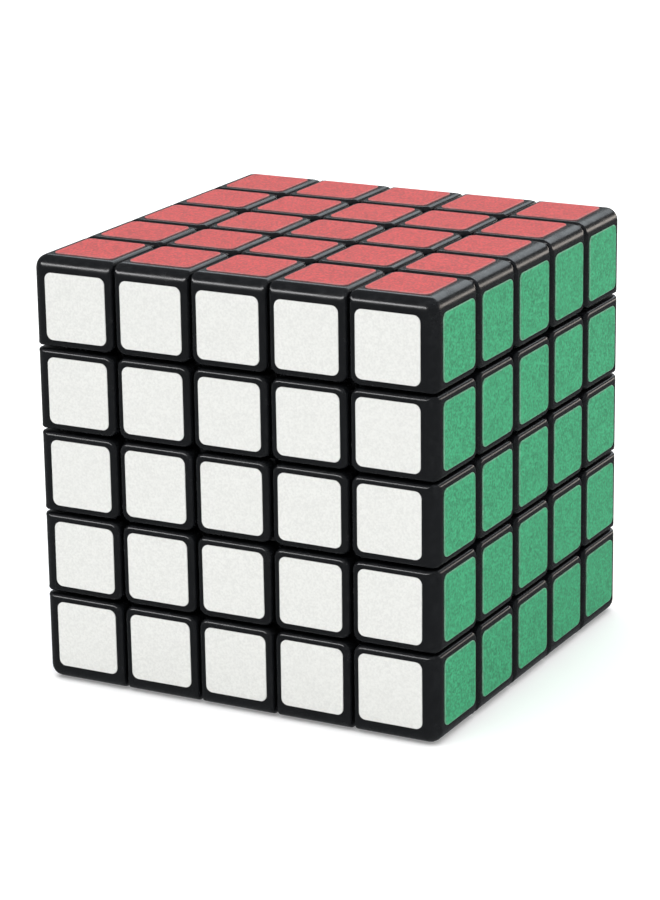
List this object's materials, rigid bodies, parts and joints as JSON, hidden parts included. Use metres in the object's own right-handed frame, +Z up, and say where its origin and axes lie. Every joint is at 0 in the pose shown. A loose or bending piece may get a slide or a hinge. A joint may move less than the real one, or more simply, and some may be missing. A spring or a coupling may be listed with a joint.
{
  "type": "twisty puzzle cube",
  "caption": "Cube-shaped turning puzzle whose square faces are split by narrow grooves into grids of small coloured squares on black rounded blocks, each face in its own colour.",
  "frame": {"origin": "centre of the core, where the three turning axes meet, which is the middle of the cube", "axes": "+Z up along the axis of the four layer joints, +X out of the green (right) face, -Y out of the white (front) face, +Z out of the red (top) face"},
  "size_m": [0.064, 0.064, 0.064],
  "materials": {
    "black_plastic": "satin moulded",
    "cap_plastic": "satin moulded",
    "core_plastic": "matte moulded",
    "screw_steel": "zinc plated",
    "spring_steel": "drawn wire",
    "sticker_white": "matte vinyl",
    "sticker_green": "matte vinyl",
    "sticker_red": "matte vinyl",
    "sticker_yellow": "matte vinyl",
    "sticker_blue": "matte vinyl",
    "sticker_orange": "matte vinyl"
  },
  "bodies": {
    "middle_layer": {"core": "core_plastic", "fixed_centre_right": "black_plastic", "fixed_centre_back": "black_plastic", "fixed_centre_left": "black_plastic", "fixed_centre_front": "black_plastic", "centre_cap_right": "cap_plastic", "centre_cap_back": "cap_plastic", "centre_cap_left": "cap_plastic", "centre_cap_front": "cap_plastic", "tension_screw_top": "screw_steel", "tension_screw_right": "screw_steel", "tension_screw_back": "screw_steel", "tension_screw_left": "screw_steel", "tension_screw_front": "screw_steel", "tension_screw_bottom": "screw_steel", "tension_spring_top": "spring_steel", "tension_spring_right": "spring_steel", "tension_spring_back": "spring_steel", "tension_spring_left": "spring_steel", "tension_spring_front": "spring_steel", "tension_spring_bottom": "spring_steel", "middle_edge_right_back": "black_plastic", "middle_edge_back_left": "black_plastic", "middle_edge_left_front": "black_plastic", "middle_edge_front_right": "black_plastic", "centre_right_towards_back": "black_plastic", "centre_back_towards_left": "black_plastic", "centre_left_towards_front": "black_plastic", "centre_front_towards_right": "black_plastic", "centre_right_towards_front": "black_plastic", "centre_back_towards_right": "black_plastic", "centre_left_towards_back": "black_plastic", "centre_front_towards_left": "black_plastic"},
    "top_layer": {"face_ring_top": "black_plastic", "corner_top_right_back": "black_plastic", "corner_top_back_left": "black_plastic", "corner_top_left_front": "black_plastic", "corner_top_front_right": "black_plastic", "middle_edge_top_right": "black_plastic", "middle_edge_top_back": "black_plastic", "middle_edge_top_left": "black_plastic", "middle_edge_top_front": "black_plastic", "fixed_centre_top": "black_plastic", "centre_cap_top": "cap_plastic"},
    "upper_slice": {"slice_ring_upper": "black_plastic"},
    "lower_slice": {"slice_ring_lower": "black_plastic"},
    "bottom_layer": {"face_ring_bottom": "black_plastic", "corner_bottom_right_back": "black_plastic", "corner_bottom_back_left": "black_plastic", "corner_bottom_left_front": "black_plastic", "corner_bottom_front_right": "black_plastic", "middle_edge_bottom_right": "black_plastic", "middle_edge_bottom_back": "black_plastic", "middle_edge_bottom_left": "black_plastic", "middle_edge_bottom_front": "black_plastic", "fixed_centre_bottom": "black_plastic", "centre_cap_bottom": "cap_plastic"}
  },
  "joints": [
    {"name": "top_layer_turn", "type": "hinge", "parent": "middle_layer", "child": "top_layer", "pos_m": [0, 0, 0], "axis": [0, 0, 1], "continuous": true},
    {"name": "upper_slice_turn", "type": "hinge", "parent": "middle_layer", "child": "upper_slice", "pos_m": [0, 0, 0], "axis": [0, 0, 1], "continuous": true},
    {"name": "lower_slice_turn", "type": "hinge", "parent": "middle_layer", "child": "lower_slice", "pos_m": [0, 0, 0], "axis": [0, 0, 1], "continuous": true},
    {"name": "bottom_layer_turn", "type": "hinge", "parent": "middle_layer", "child": "bottom_layer", "pos_m": [0, 0, 0], "axis": [0, 0, 1], "continuous": true}
  ]
}
